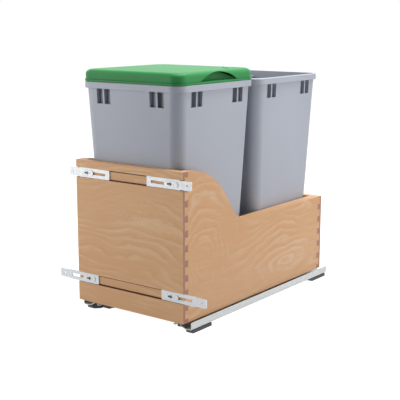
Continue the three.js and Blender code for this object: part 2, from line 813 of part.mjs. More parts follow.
// ---------------------------------------------------------------------------- slides
// The cabinet rail: an outer wall, a trough, and a raised head that the rollers run on.
function cabinetRail() {
  const wall = railOuter - sheet / 2;
  const trough = railBottom + sheet / 2;
  const web = webTop - sheet / 2;
  const head = cabinetRailTop - sheet / 2;
  const left = railCentre - headHalfWidth;
  const right = railCentre + headHalfWidth;
  const section = bentSheet([
    [wall, -railWallGap], [wall, trough], [wall - railTroughWidth, trough], [right + sheet, web],
    [right, head], [left, head], [left, web], [left - innerFlange, web],
  ]);
  const rail = extrude(section, 'y', railSetback, railRear);
  const holes = rivetPlaces().map(({ x, y }) => rod('z', railBottom - cutMargin,
    troughTop + cutMargin, rivetRadius + fastenerPlay, [x, y], screwSides));
  return cut(rail, ...holes);
}

// An upside-down channel that runs over the one below it.
function channel(halfWidth, top, bottom) {
  const middle = top - sheet / 2;
  return bentSheet([
    [railCentre + halfWidth, bottom], [railCentre + halfWidth, middle],
    [railCentre - halfWidth, middle], [railCentre - halfWidth, bottom],
  ]);
}

const middleRail = () => extrude(
  channel(middleHalfWidth, middleRailTop, runnerBottom),
  'y', middleRailFront, middleRailRear,
);

// The drawer rail carries the tray's bottom; a small striker on it works the soft close.
function drawerRail() {
  const rail = extrude(
    channel(drawerHalfWidth, drawerRailTop, runnerBottom),
    'y', drawerRailFront, drawerRailRear,
  );
  const wall = railCentre + drawerHalfWidth;
  const striker = block(
    [wall, innerHalf + damperRadius],
    [catchFront - strikerLength, catchFront],
    [-railWallGap - sheet, -railWallGap],
  );
  return join(rail, striker);
}

function rollerPlaces() {
  const span = cageRear - cageFront;
  const pitch = span / rollerCount;
  return Array.from({ length: rollerCount }, (_, i) => cageFront + pitch * (i + 0.5));
}

// A thin strip with its row of rollers, which runs between two rails.
function rollerCage(top) {
  const middle = top + rollerGap / 2;
  const half = cageWidth / 2;
  const strip = block([railCentre - half, railCentre + half], [cageFront, cageRear],
    [middle - cageThickness / 2, middle + cageThickness / 2]);
  const reach = rollerLength / 2;
  const rollers = rollerPlaces().map((y) => rod('x', railCentre - reach, railCentre + reach,
    rollerDiameter / 2, [y, middle], rollerSides));
  return join(strip, ...rollers);
}

// --------------------------------------------------------------------- slide fittings
function rivetPlaces() {
  const x = railOuter - sheet - railTroughWidth / 2;
  return [
    { name: 'front', x, y: railSetback + footSetback + frontRivetSetback },
    { name: 'rear', x, y: railRear - rearRivetInset },
  ];
}

// A foot under the rail, with a wing to the inside that is screwed to the cabinet floor.
function foot(front, length, slope) {
  const outer = railOuter - footInset;
  const inner = outer - footPadWidth;
  const top = railBottom - footGap;
  const rear = front + length;
  const rivet = rivetPlaces().find(({ y }) => y > front && y < rear);
  const padSide = outline([[rear, floorLevel], [rear, top], [front, top], [front + slope, floorLevel]]);
  const pad = extrude(padSide, 'x', inner, outer);
  const step = block([outer - footStepInset, outer + cutMargin],
    [front - cutMargin, rear + cutMargin], [top - footStep, top + cutMargin]);
  const corner = extrude(outline([
    [inner - cutMargin, front - cutMargin], [inner + footChamfer, front - cutMargin],
    [inner - cutMargin, front + footChamfer],
  ]), 'z', floorLevel - cutMargin, top + cutMargin);
  const wingFront = rivet.y - wingLead;
  const wingBottom = floorLevel + wingRise;
  const hole = [wingReach + wingBossRadius + cutMargin, wingFront + wingLength / 2];
  const wing = block([wingReach, inner + cutMargin], [wingFront, wingFront + wingLength],
    [wingBottom, wingBottom + wingThickness]);
  const boss = rod('z', floorLevel, wingBottom + cutMargin, wingBossRadius, hole);
  const holes = [
    rod('z', floorLevel - cutMargin, top + cutMargin, wingHoleRadius, hole),
    rod('z', troughTop - rivetLength - fastenerPlay, top + cutMargin,
      rivetRadius + fastenerPlay, [rivet.x, rivet.y], screwSides),
  ];
  return cut(join(cut(pad, step, corner), wing, boss), ...holes);
}

function rivet() {
  const profile = [
    [0, -rivetLength], [rivetRadius, -rivetLength], [rivetRadius, 0], [rivetHeadRadius, 0],
    [rivetHeadRadius * rivetHeadTaper, rivetHeadHeight * rivetHeadTaper], [0, rivetHeadHeight],
  ].map(([r, y]) => new THREE.Vector2(r, y));
  return toSolid(new THREE.LatheGeometry(profile, screwSides).rotateX(Math.PI / 2));
}

// The latch is screwed up into the tray's bottom and stops the front of the drawer rail.
function latchScrewPlaces() {
  const x = latchOuter - latchWidth + latchScrewInset;
  const front = latchFront + latchNoseDepth + latchScrewInset;
  return [[x, front], [x, latchFront + latchLength - latchScrewInset]];
}

function latchBody() {
  const body = block([latchOuter - latchWidth, latchOuter],
    [latchFront, latchFront + latchLength], [latchBottom, bottomRecess]);
  const nose = block([latchOuter - cutMargin, railCentre + drawerHalfWidth],
    [latchFront, latchFront + latchNoseDepth],
    [cabinetRailTop + seatGap, bottomRecess - seatGap]);
  const holes = latchScrewPlaces().map(([x, y]) => {
    const geometry = toGeometry(countersunkHole(latchScrewLength));
    geometry.rotateX(Math.PI / 2);
    geometry.translate(x, y, latchBottom);
    return toSolid(geometry);
  });
  const pivotHole = rod('z', latchBottom - cutMargin, latchBottom + leverThickness,
    leverPivotRadius + fastenerPlay, leverPivot);
  return cut(join(body, nose), ...holes, pivotHole);
}

// The release lever turns about its pivot pin, under the latch, and ends in a thumb pad.
function latchLever() {
  const [x, y] = leverPivot;
  const top = latchBottom - leverGap;
  const bottom = top - leverThickness;
  const half = leverWidth / 2;
  const padFront = boardThickness - leverHandleLength / 2;
  const arm = block([x - half, x + half], [padFront + cutMargin, y + half], [bottom, top]);
  const pad = block([x - leverHandleWidth + half, x + half],
    [padFront, padFront + leverHandleLength], [bottom, -railWallGap]);
  const pin = rod('z', top - cutMargin, latchBottom + leverThickness - fastenerPlay,
    leverPivotRadius, [x, y]);
  return join(arm, pad, pin);
}

// The rear hook is fixed beside the drawer rail; its pin goes into the back board.
function rearHook() {
  const inner = drawerRailInnerFace - hookInset - hookPinRadius - cutMargin;
  const arm = block([inner, drawerRailInnerFace],
    [drawerRailRear - hookBlockLength, backFace - seatGap], [latchBottom, bottomRecess - seatGap]);
  const pin = rod('y', backFace - seatGap - cutMargin, backFace + hookPinLength,
    hookPinRadius, [drawerRailInnerFace - hookInset, bottomRecess / 2]);
  return join(arm, pin);
}

// The soft-close unit lies in the rail's trough.
function damperCylinder() {
  return cut(
    rod('y', damperFront, damperRear, damperRadius, damperAxis, damperSides),
    rod('y', damperFront - cutMargin, damperRear - damperWall, damperBoreRadius, damperAxis),
  );
}

function damperPlunger() {
  const [x, z] = damperAxis;
  const piston = damperFront + pistonDepth;
  const head = rod('y', catchFront, catchRear, damperRadius - slidePlay, damperAxis, damperSides);
  const notch = block([x - damperRadius, x + damperRadius],
    [catchFront + catchNotch, catchFront + 3 * catchNotch],
    [z + damperRadius / 2, z + damperRadius + cutMargin]);
  return join(
    cut(head, notch),
    rod('y', catchRear - cutMargin, piston + cutMargin, rodRadius, damperAxis, screwSides),
    rod('y', piston, piston + pistonLength, pistonRadius, damperAxis),
  );
}

addPair('cabinet_rail', cabinetRail(), zinc);
addPair('middle_rail', middleRail(), zinc);
addPair('drawer_rail', drawerRail(), zinc);
addPair('lower_roller_cage', rollerCage(cabinetRailTop), nylon);
addPair('upper_roller_cage', rollerCage(middleRailTop), nylon);
addPair('front_foot', foot(railSetback + footSetback, frontFootLength, frontFootSlope), darkPlastic);
addPair('rear_foot', foot(railRear - rearFootLength, rearFootLength, rearFootSlope), darkPlastic);
for (const { name, x, y } of rivetPlaces()) {
  addPair(`${name}_foot_rivet`, rivet(), screwSteel, x, y, troughTop);
}
addPair('latch', latchBody(), darkPlastic);
addPair('latch_lever', latchLever(), darkPlastic);
latchScrewPlaces().forEach(([x, y], i) => {
  const screw = toGeometry(countersunkScrew(latchScrewLength)).rotateX(Math.PI / 2);
  addPair(`latch_screw_${i + 1}`, toSolid(screw), screwSteel, x, y, latchBottom);
});
addPair('rear_hook', rearHook(), zinc);
addPair('damper_cylinder', damperCylinder(), darkPlastic);
addPair('damper_plunger', damperPlunger(), nylon);

// ----------------------------------------------------------------------- whole part
cabinet.position.set(0, -railRear / 2, -floorLevel);

const group = new THREE.Group();
group.add(cabinet);

export default group;
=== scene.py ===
# %% [markdown]
# # A pull-out waste cabinet, dressed over its CAD frame
# The CAD part gives every board, bin, bracket and rail its true size and place. This scene
# keeps that frame as it is, and adds what a camera wants to see: softened edges, moulded
# corners, wood figure, zinc and satin plastic. The frame is loaded first, because finishes and
# copies take their place from the CAD nodes, so little here has to be fitted by eye.

# %% Load the frame
import json
from math import cos, pi, radians, sin

import bmesh
import bpy
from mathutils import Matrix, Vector


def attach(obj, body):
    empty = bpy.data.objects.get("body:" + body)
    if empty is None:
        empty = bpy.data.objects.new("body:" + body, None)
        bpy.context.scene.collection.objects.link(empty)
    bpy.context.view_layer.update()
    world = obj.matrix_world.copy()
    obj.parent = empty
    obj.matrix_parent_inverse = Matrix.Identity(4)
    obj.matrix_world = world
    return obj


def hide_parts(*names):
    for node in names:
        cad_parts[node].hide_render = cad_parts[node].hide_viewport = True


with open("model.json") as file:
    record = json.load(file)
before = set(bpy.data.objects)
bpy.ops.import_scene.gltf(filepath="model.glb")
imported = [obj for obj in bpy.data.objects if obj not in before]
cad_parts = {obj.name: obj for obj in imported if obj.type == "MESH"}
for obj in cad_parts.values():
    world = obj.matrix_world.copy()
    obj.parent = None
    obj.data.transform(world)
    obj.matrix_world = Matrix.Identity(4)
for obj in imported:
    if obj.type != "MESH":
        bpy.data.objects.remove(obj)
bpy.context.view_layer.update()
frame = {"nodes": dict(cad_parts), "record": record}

scene = bpy.context.scene
nodes = frame["nodes"]
body_of_node = {
    node: body for body, members in frame["record"]["behaviour"]["bodies"].items() for node in members
}

# %% [markdown]
# ## Camera
# A product picture is taken from far off with a long lens, which keeps the verticals nearly
# upright. The camera could be moved until the picture looks right. Here it was solved from the
# straight edges of the tray in the photograph, so it stands where the photographer's did: 37
# degrees round to the right and a little above the rims of the bins.

# %% Place the camera
LENS = 83.91                      # millimetres, on a sensor of full-frame width
SENSOR_WIDTH = 36.0
CAMERA_PLACE = (1.2173, -1.6542, 0.6219)
CAMERA_TILT = 78.78               # degrees up from looking straight down
CAMERA_TURN = 36.96               # degrees round to the right

camera_data = bpy.data.cameras.new("camera")
camera_data.lens = LENS
camera_data.sensor_width = SENSOR_WIDTH
camera = bpy.data.objects.new("camera", camera_data)
camera.location = CAMERA_PLACE
camera.rotation_euler = (radians(CAMERA_TILT), 0.0, radians(CAMERA_TURN))
scene.collection.objects.link(camera)
scene.camera = camera
print("camera at", [round(value, 3) for value in camera.location])

# %% [markdown]
# ## Soft boxes
# In the photograph the right side of the cabinet is the brightest, the front is a little
# darker, and the rounded corner of the bin that faces the camera is the darkest of all. A lamp
# by the camera would turn that round. So there is one wide soft box on each side, both nearly
# level with the object, and a third one above for the lid and the rims.

# %% Hang the soft boxes
OBJECT_MIDDLE = Vector((0.0, 0.0, 0.22))
LIGHT_DISTANCE = 2.2
SOFT_BOX_HEIGHT = 1.8


def soft_box(name, azimuth, elevation, width, power):
    """An area light that looks at the middle of the object from a compass angle and a height."""
    azimuth, elevation = radians(azimuth), radians(elevation)
    away = Vector((sin(azimuth) * cos(elevation), -cos(azimuth) * cos(elevation), sin(elevation)))
    data = bpy.data.lights.new(name, "AREA")
    data.shape = "RECTANGLE"
    data.size = width
    data.size_y = SOFT_BOX_HEIGHT
    data.energy = power
    light = bpy.data.objects.new(name, data)
    light.location = OBJECT_MIDDLE + away * LIGHT_DISTANCE
    light.rotation_euler = away.to_track_quat("Z", "Y").to_euler()
    scene.collection.objects.link(light)


soft_box("left soft box", azimuth=-46, elevation=14, width=1.6, power=27.5)
soft_box("right soft box", azimuth=112, elevation=16, width=1.5, power=21)
soft_box("top soft box", azimuth=150, elevation=76, width=1.8, power=72)
print("soft boxes:", len(bpy.data.lights))

# %% [markdown]
# ## White ground
# The ground is pure white and holds no shadow. It could be a card under strong lamps, but a card
# that bright throws its light back and makes the object flat. Here the world and the floor glow
# by themselves: at full strength for the camera and for reflections, and at a small part of it
# for the soft light that they lend to the object. The Light Path node tells the two apart.

# %% Light the world
WHITE = (1.0, 1.0, 1.0, 1.0)
WORLD_SEEN = 1.0
LENT_LIGHT = 0.12


def dimmer(tree, seen, lent):
    """One strength for what the camera and the gloss see, and a lower one for soft light."""
    light_path = tree.nodes.new("ShaderNodeLightPath")
    strength = tree.nodes.new("ShaderNodeMapRange")
    strength.inputs["To Min"].default_value = seen
    strength.inputs["To Max"].default_value = lent
    tree.links.new(light_path.outputs["Is Diffuse Ray"], strength.inputs["Value"])
    return strength.outputs["Result"]


world = bpy.data.worlds.new("studio")
world.use_nodes = True
background = world.node_tree.nodes["Background"]
background.inputs["Color"].default_value = WHITE
world.node_tree.links.new(dimmer(world.node_tree, WORLD_SEEN, LENT_LIGHT),
                          background.inputs["Strength"])
scene.world = world
scene.view_settings.view_transform = "Standard"
print("the world lends", LENT_LIGHT, "of its light")

# %% [markdown]
# ## Floor
# The feet need a floor under them, or their undersides would catch light from below. A curved
# backdrop would hide the horizon, but world and floor are both white, so a flat grid does. It is
# part of the stage, not of the object. Its own grey decides how much of the soft boxes' light it
# throws up at the low parts of the tray.

# %% Lay the floor
FLOOR_SEEN = 0.98
FLOOR_GREY = (0.3, 0.3, 0.3, 1.0)
FLOOR_HALF = 6.0

floor_form = bmesh.new()
bmesh.ops.create_grid(floor_form, x_segments=2, y_segments=2, size=FLOOR_HALF)
floor_mesh = bpy.data.meshes.new("floor")
floor_form.to_mesh(floor_mesh)
floor_form.free()
floor = bpy.data.objects.new("floor", floor_mesh)
scene.collection.objects.link(floor)

floor_material = bpy.data.materials.new("pale floor")
floor_material.use_nodes = True
floor_shader = floor_material.node_tree.nodes["Principled BSDF"]
floor_shader.inputs["Base Color"].default_value = FLOOR_GREY
floor_shader.inputs["Roughness"].default_value = 0.9
floor_shader.inputs["Emission Color"].default_value = WHITE
floor_material.node_tree.links.new(dimmer(floor_material.node_tree, FLOOR_SEEN, LENT_LIGHT),
                                   floor_shader.inputs["Emission Strength"])
floor_mesh.materials.append(floor_material)
print("floor:", 2 * FLOOR_HALF, "m square")

# %% [markdown]
# ## A helper for materials
# Every finish is a small node tree on a Principled shader. Such a tree could be built node by
# node, but the links would hide what it does. The helper below adds a node, sets its values and
# links what is handed to it, so that a recipe reads from top to bottom. All patterns start from
# Object coordinates: a CAD frame has no unwrapped surfaces, and because every object sits at the
# origin, the pattern keeps its true size in metres on every piece.

# %% Define the recipe helper
class Recipe:
    """One material: nodes are added by name, and sockets are given values or other sockets."""

    def __init__(self, name, **uniform):
        self.material = bpy.data.materials.new(name)
        self.material.use_nodes = True
        self.tree = self.material.node_tree
        self.shader = self.tree.nodes["Principled BSDF"]
        for socket, value in uniform.items():
            self.shader.inputs[socket.replace("_", " ")].default_value = value
        self.place = self.tree.nodes.new("ShaderNodeTexCoord")

    def add(self, kind, inputs=(), **settings):
        node = self.tree.nodes.new(f"ShaderNode{kind}")
        for key, value in settings.items():
            setattr(node, key, value)
        for socket, value in dict(inputs).items():
            self.feed(node.inputs[socket], value)
        return node

    def feed(self, socket, value):
        if isinstance(value, bpy.types.NodeSocket):
            self.tree.links.new(value, socket)
        else:
            socket.default_value = value

    def math(self, operation, first, second=0.0, clamp=False):
        pair = {0: first, 1: second}
        return self.add("Math", pair, operation=operation, use_clamp=clamp).outputs[0]

    def vector(self, operation, first, second):
        return self.add("VectorMath", {0: first, 1: second}, operation=operation).outputs[0]

    def stretch(self, scale):
        """The object's own coordinates, scaled along each axis."""
        return self.vector("MULTIPLY", self.place.outputs["Object"], scale)

    def noise(self, vector, scale=1.0, detail=2.0, roughness=0.5):
        values = {"Vector": vector, "Scale": scale, "Detail": detail, "Roughness": roughness}
        return self.add("TexNoise", values).outputs["Fac"]

    def remap(self, value, span, low=0.0, high=1.0):
        """The part of a value that lies in a span, moved to the span from low to high."""
        values = {"Value": value, "From Min": span[0], "From Max": span[1], "To Min": low,
                  "To Max": high}
        return self.add("MapRange", values).outputs["Result"]

    def mix(self, factor, first, second):
        node = self.add("Mix", data_type="RGBA")
        self.feed(node.inputs["Factor"], factor)
        self.feed(node.inputs["A"], first)
        self.feed(node.inputs["B"], second)
        return node.outputs["Result"]

    def bump(self, height, distance, strength):
        values = {"Height": height, "Distance": distance, "Strength": strength}
        self.feed(self.shader.inputs["Normal"], self.add("Bump", values).outputs["Normal"])


print("recipe helper ready")

# %% [markdown]
# ## Colours and spans
# A colour is easiest to pick on a screen, but a shader wants linear light, so each one is turned
# once, here. Noise never fills the whole span from nought to one. The narrower the span that is
# stretched to the full range, the harder its patches become, and three spans do for all of it.

# %% Define the colours and the spans of noise
WIDE_SPAN = (0.2, 0.8)            # soft
MAIN_SPAN = (0.3, 0.7)
NARROW_SPAN = (0.35, 0.65)        # harder
WAVE_SPAN = (-1.0, 1.0)           # what a sine fills


def colour(red, green, blue):
    """A colour as it is picked on a screen, turned into the linear light a shader wants."""
    def linear(value):
        value /= 255
        return value / 12.92 if value <= 0.04045 else ((value + 0.055) / 1.055) ** 2.4
    return (linear(red), linear(green), linear(blue), 1.0)


def between(recipe, value, low, high):
    """One where a value lies between two others, and nought elsewhere."""
    above = recipe.math("GREATER_THAN", value, low)
    return recipe.math("MULTIPLY", above, recipe.math("LESS_THAN", value, high))


print("middle grey in linear light:", round(colour(128, 128, 128)[0], 3))

# %% [markdown]
# ## Wood: hills and loops
# The boards are birch or maple ply with a rotary-cut figure. The blade has cut through the
# growth rings of a round log, so the rings show as level lines that arch over hidden hills and
# close into nested loops where a ring was cut at its crest. A ready-made wave texture gives only
# straight or round bands. One height field can hold it all: a hill bends the level lines, and a
# loop is a distance from a centre, joined to the field by a smooth minimum, so that rings merge
# as real ones do. Slow noise makes the lines sway, and finer noise makes them ripple.

# %% Shape the field that the rings follow
GRAIN_STRETCH = 0.4               # noise is this much longer along the grain
SWAY_SCALE, SWAY = 13.0, 0.02     # patches to a metre, and metres of sway
RIPPLE_SCALE, RIPPLE = 55.0, 0.005
LOOP_SWAY = 0.9                   # share of the sway that bends a loop
LOOP_BLEND = 0.03                 # how widely a loop melts into the level lines


def along_grain(along, lengthwise, crosswise):
    """Three scales, of which the first counts along the grain."""
    if along == "X":
        return (lengthwise, crosswise, crosswise)
    return (crosswise, lengthwise, crosswise)


def away_from(recipe, centre, reach):
    """How far a place is from a centre, where each axis counts in units of its own reach."""
    offset = recipe.vector("SUBTRACT", recipe.place.outputs["Object"], centre)
    scaled = recipe.vector("MULTIPLY", offset, [1.0 / value for value in reach])
    return recipe.add("VectorMath", {0: scaled}, operation="LENGTH").outputs["Value"]


def hill(recipe, centre, reach, height):
    """A smooth hump of that height, which is down to a third of it at its reach."""
    far = away_from(recipe, centre, reach)
    fall = recipe.math("EXPONENT", recipe.math("MULTIPLY", recipe.math("MULTIPLY", far, far), -1.0))
    return recipe.math("MULTIPLY", fall, height)


def ring_field(recipe, flow, hills, loops):
    """The height whose level lines are the growth rings."""
    sway = recipe.remap(recipe.noise(flow, scale=SWAY_SCALE, detail=1.5), WIDE_SPAN, -SWAY, SWAY)
    ripple = recipe.remap(recipe.noise(flow, scale=RIPPLE_SCALE, detail=3.0), WIDE_SPAN,
                          -RIPPLE, RIPPLE)
    upward = recipe.add("SeparateXYZ", {0: recipe.place.outputs["Object"]}).outputs["Z"]
    field = recipe.math("ADD", upward, sway)
    for centre, reach, height in hills:
        field = recipe.math("SUBTRACT", field, hill(recipe, centre, reach, height))
    for centre, reach in loops:
        ring = recipe.math("ADD", away_from(recipe, centre, reach),
                           recipe.math("MULTIPLY", sway, LOOP_SWAY))
        field = recipe.add("Math", {0: field, 1: ring, 2: LOOP_BLEND},
                           operation="SMOOTH_MIN").outputs[0]
    return recipe.math("ADD", field, ripple)


print("rings sway by", SWAY, "m and ripple by", RIPPLE, "m")

# %% [markdown]
# ## Wood: the rings
# A growth ring is a soft pale band on an orange-brown ground, with a thin dark line along one
# side. A colour ramp could draw one, but only with hard stops or many of them. A sine of the
# field, raised to a power, gives both: a low power makes the soft band, and a high power, a
# little later in the wave, makes the thin line. Both fade in and out in patches.

# %% Draw the pale bands and their dark lines
BANDS = 62.0                      # rings to a metre, across their lines
BAND_POWER, BAND_SHARE = 2.0, 0.75
LINE_POWER, LINE_SHARE = 7.0, 0.28
LINE_LAG = 1.9                    # radians by which the dark line follows its band
FADE_SCALE = 17.0
FADE_SPAN, FADE_LEAST = (0.4, 0.62), 0.12


def growth_rings(recipe, flow, marks):
    """How pale a place is from its band, and how dark from the line along it."""
    field = ring_field(recipe, flow, marks["hills"], marks["loops"])
    turn = recipe.math("MULTIPLY", field, 2 * pi * BANDS)
    fade = recipe.remap(recipe.noise(flow, scale=FADE_SCALE), FADE_SPAN, FADE_LEAST, 1.0)
    for centre, reach, height in marks["plain"]:
        fade = recipe.math("SUBTRACT", fade, hill(recipe, centre, reach, height), clamp=True)

    wave = recipe.remap(recipe.math("SINE", turn), WAVE_SPAN)
    band = recipe.math("MULTIPLY", recipe.math("POWER", wave, BAND_POWER),
                       recipe.math("MULTIPLY", fade, BAND_SHARE))
    later = recipe.math("SINE", recipe.math("SUBTRACT", turn, LINE_LAG))
    line = recipe.math("MULTIPLY", recipe.math("POWER", recipe.remap(later, WAVE_SPAN), LINE_POWER),
                       recipe.math("MULTIPLY", fade, LINE_SHARE))
    return band, line


print("a ring every", round(1000 / BANDS, 1), "mm")

# %% [markdown]
# ## Wood: fibres and flecks
# Between its rings, wood has fine lines along the grain: pale fibres and darker pores. Both are
# noise that is stretched many times along the grain. Small pale flecks are the rays, which shine
# where the blade has run along them, and they come in patches. All of it adds up to one tone,
# from ground to pale, because wood has few colours and many shades.

# %% Colour the face of a board
WOOD_GROUND = colour(217, 169, 124)
WOOD_PALE = colour(227, 190, 149)
WOOD_LINE = colour(194, 136, 88)
FIBRES, FIBRE_TONES = (16.0, 460.0), (-0.24, 0.3)    # to a metre, along and across the grain
PORES, PORE_SPAN, PORE_SHARE = (70.0, 900.0), (0.62, 0.74), 0.42
FLECKS, FLECK_SPAN = (170.0, 300.0), (0.55, 0.68)
BLOTCHES, BLOTCH_TONES = (7.0, 7.0, 7.0), (-0.1, 0.16)


def wood_grain(recipe, along):
    """Two kinds of fine lines along the grain: fibres, and darker pores."""
    fibres = recipe.noise(recipe.stretch(along_grain(along, *FIBRES)), detail=3.0, roughness=0.6)
    pores = recipe.noise(recipe.stretch(along_grain(along, *PORES)), detail=1.0)
    return fibres, recipe.remap(pores, PORE_SPAN)


def ray_flecks(recipe, along, patch):
    """Small pale spots inside a patch, which is a hill."""
    spots = recipe.noise(recipe.stretch(along_grain(along, *FLECKS)))
    return recipe.math("MULTIPLY", recipe.remap(spots, FLECK_SPAN), hill(recipe, *patch))


def wood_face(recipe, along, grain, marks, ground, pale):
    """The colour of a board's face, from its rings, its grain and its marks."""
    fibres, pores = grain
    seed = (marks["seed"],) * 3
    moved = recipe.vector("ADD", recipe.place.outputs["Object"], seed)
    flow = recipe.vector("MULTIPLY", moved, along_grain(along, GRAIN_STRETCH, 1.0))
    blotches = recipe.noise(recipe.stretch(BLOTCHES), detail=3.0)
    tone, line = growth_rings(recipe, flow, marks)
    tone = recipe.math("ADD", tone, recipe.remap(fibres, MAIN_SPAN, *FIBRE_TONES))
    tone = recipe.math("ADD", tone, recipe.remap(blotches, NARROW_SPAN, *BLOTCH_TONES))
    for patch in marks["flecks"]:
        tone = recipe.math("ADD", tone, ray_flecks(recipe, along, patch))
    for patch in marks["paler"]:
        tone = recipe.math("ADD", tone, hill(recipe, *patch))
    tone = recipe.math("SUBTRACT", tone, recipe.math("MULTIPLY", pores, PORE_SHARE), clamp=True)
    return recipe.mix(line, recipe.mix(tone, ground, pale), WOOD_LINE)


print("fibres are", round(FIBRES[1] / FIBRES[0]), "times as long as they are wide")

# %% [markdown]
# ## Wood: kerfs and ends
# A router has cut a groove for the door brackets, and a deeper kerf along each of its edges.
# Little light gets into a kerf, so its walls get a painted shade: dark brown, in a narrow band at
# one height and depth. It could be painted on the mesh, but the board has no vertices there, so it
# is mixed in by place. The ends of a board are cut across the fibres. They drink more varnish, and
# are darker and redder, which shows in the dovetails. The normal tells where a face is an end, so
# that one material dresses a whole board.

# %% Define the wood material
# Painted shade: the dark brown that fills the kerfs, where little light gets in.
KERF_PAINTED_SHADE = colour(98, 50, 26)
WOOD_END_LIGHT = colour(172, 126, 104)
WOOD_END_DARK = colour(146, 104, 88)
KERF_BAND = (0.0079, 0.0112)      # from the middle of a groove to its kerf, where the shade is painted
KERF_DEPTHS = (-0.2777, -0.2722)  # the front and the bottom of a kerf
END_RINGS = (220.0, 220.0, 90.0)
END_SLOPE = 0.85                  # a face whose normal runs more than this along the grain
FIBRE_DEPTH, FIBRE_STRENGTH = 0.00012, 0.5
PORE_SINK = -0.6                  # pores are sunk, where fibres stand up
NO_MARKS = {"seed": 0.0, "hills": (), "loops": (), "plain": (), "flecks": (), "paler": ()}


def wood(name, along, kerfs=(), ground=WOOD_GROUND, pale=WOOD_PALE, **marks):
    """Wood whose grain runs along X or Y, with its own marks and painted shade in its kerfs."""
    recipe = Recipe(name, Roughness=0.5, Specular_IOR_Level=0.35)
    grain = wood_grain(recipe, along)
    face = wood_face(recipe, along, grain, {**NO_MARKS, **marks}, ground, pale)
    place = recipe.add("SeparateXYZ", {0: recipe.place.outputs["Object"]}).outputs
    # Painted shade inside the kerfs, by height and depth.
    for height in kerfs:
        off = recipe.math("ABSOLUTE", recipe.math("SUBTRACT", place["Z"], height))
        cut = recipe.math("MULTIPLY", between(recipe, off, *KERF_BAND),
                          between(recipe, place["Y"], *KERF_DEPTHS))
        face = recipe.mix(cut, face, KERF_PAINTED_SHADE)

    rings = recipe.noise(recipe.stretch(END_RINGS), detail=3.0, roughness=0.65)
    end = recipe.mix(rings, WOOD_END_LIGHT, WOOD_END_DARK)
    facing = recipe.add("SeparateXYZ", {0: recipe.place.outputs["Normal"]}).outputs[along]
    at_end = recipe.math("GREATER_THAN", recipe.math("ABSOLUTE", facing), END_SLOPE)
    recipe.feed(recipe.shader.inputs["Base Color"], recipe.mix(at_end, face, end))
    fibres, pores = grain
    relief = recipe.math("ADD", fibres, recipe.math("MULTIPLY", pores, PORE_SINK))
    recipe.bump(relief, FIBRE_DEPTH, FIBRE_STRENGTH)
    return recipe.material


print("painted kerf shade bands are", round(1000 * (KERF_BAND[1] - KERF_BAND[0]), 1), "mm wide")

# %% [markdown]
# ## The boards
# Each board has its own figure, because no two veneers are alike. The front board has an arch at
# its top, a dip at its lower right and a flecked patch in its middle. The right side has three
# nested loops, one of them long and pale. Each mark is a centre on the board's face, a reach
# along X, Y and Z, and a height, in metres. They follow the main forms in the photograph. The
# back, the bottom and the guides hardly show, and have a plain figure from their own seeds.

# %% Mix the wood of each board
FRONT_FACE = -0.278               # where the front board's face lies, along Y
SIDE_FACE = 0.141                 # where the right side's outer face lies, along X
SIDE_GROUND = colour(203, 156, 113)
SIDE_PALE = colour(210, 176, 142)
GROOVE_HEIGHTS = (0.3026, 0.077)  # the middles of the two bracket grooves


def on_front(across, up):
    return (across, FRONT_FACE, up)


def on_side(back, up):
    return (SIDE_FACE, back, up)


front_wood = wood(
    "front board maple", "X", seed=0.31, kerfs=GROOVE_HEIGHTS,
    hills=[
        (on_front(0.035, 0.285), (0.125, 0.2, 0.08), 0.042),
        (on_front(0.165, 0.125), (0.075, 0.2, 0.06), -0.032),
        (on_front(-0.1, 0.155), (0.05, 0.2, 0.03), 0.006),
    ],
    flecks=[(on_front(0.04, 0.215), (0.075, 0.2, 0.036), 0.75)],
    plain=[(on_front(0.04, 0.2), (0.06, 0.2, 0.03), 0.5)],
)
side_wood = wood(
    "side board maple", "Y", seed=1.7, ground=SIDE_GROUND, pale=SIDE_PALE,
    hills=[(on_side(-0.11, 0.23), (0.2, 0.06, 0.05), 0.02)],
    loops=[
        (on_side(-0.208, 0.137), (0.5, 0.95, 1.35)),
        (on_side(-0.05, -0.02), (0.5, 1.3, 0.9)),
        (on_side(0.094, 0.078), (0.5, 3.6, 0.95)),
    ],
    plain=[(on_side(-0.045, 0.12), (0.2, 0.035, 0.05), 0.6)],
    paler=[(on_side(0.094, 0.078), (0.2, 0.13, 0.032), 0.4)],
)
back_wood = wood("back board maple", "X", seed=2.9)
inner_wood = wood("bottom and guide maple", "Y", seed=4.2)
print("wood materials:", 4)

# %% [markdown]
# ## Grip recesses
# Under its rim a bin has pairs of upright recesses, which give the hands a hold.
# They are deep and narrow, so little light gets to their far side, and in the photograph each one
# goes from dark to grey across its width. The recesses are cut in the CAD. A few soft boxes don't
# shade them as deeply as a real room does, so their walls get a painted shade, by place: inside
# the bin's outer wall, at their height, and falling off across each recess.

# %% Find the grip recesses
BIN_DRAFT = 0.044                 # a bin's wall leans out by this much per metre of height
BIN_BASE_HALF = 0.104212          # its half width, drawn down to the floor
GRIP_BAND = (0.0514, 0.0870)      # a pair of recesses, measured from the wall's middle
GRIP_DEPTHS = (0.0006, 0.0090)
GRIP_HEIGHTS = (0.4462, 0.4772)
GRIP_PITCH = 0.020
GRIP_WIDTH = 0.0156
GRIP_TONES = (0.7, 0.12)          # how strong the painted shade is at a recess's start and at its end
# Painted shade: the colour that the grip recesses are darkened towards.
GRIP_SHADE = colour(52, 53, 62)


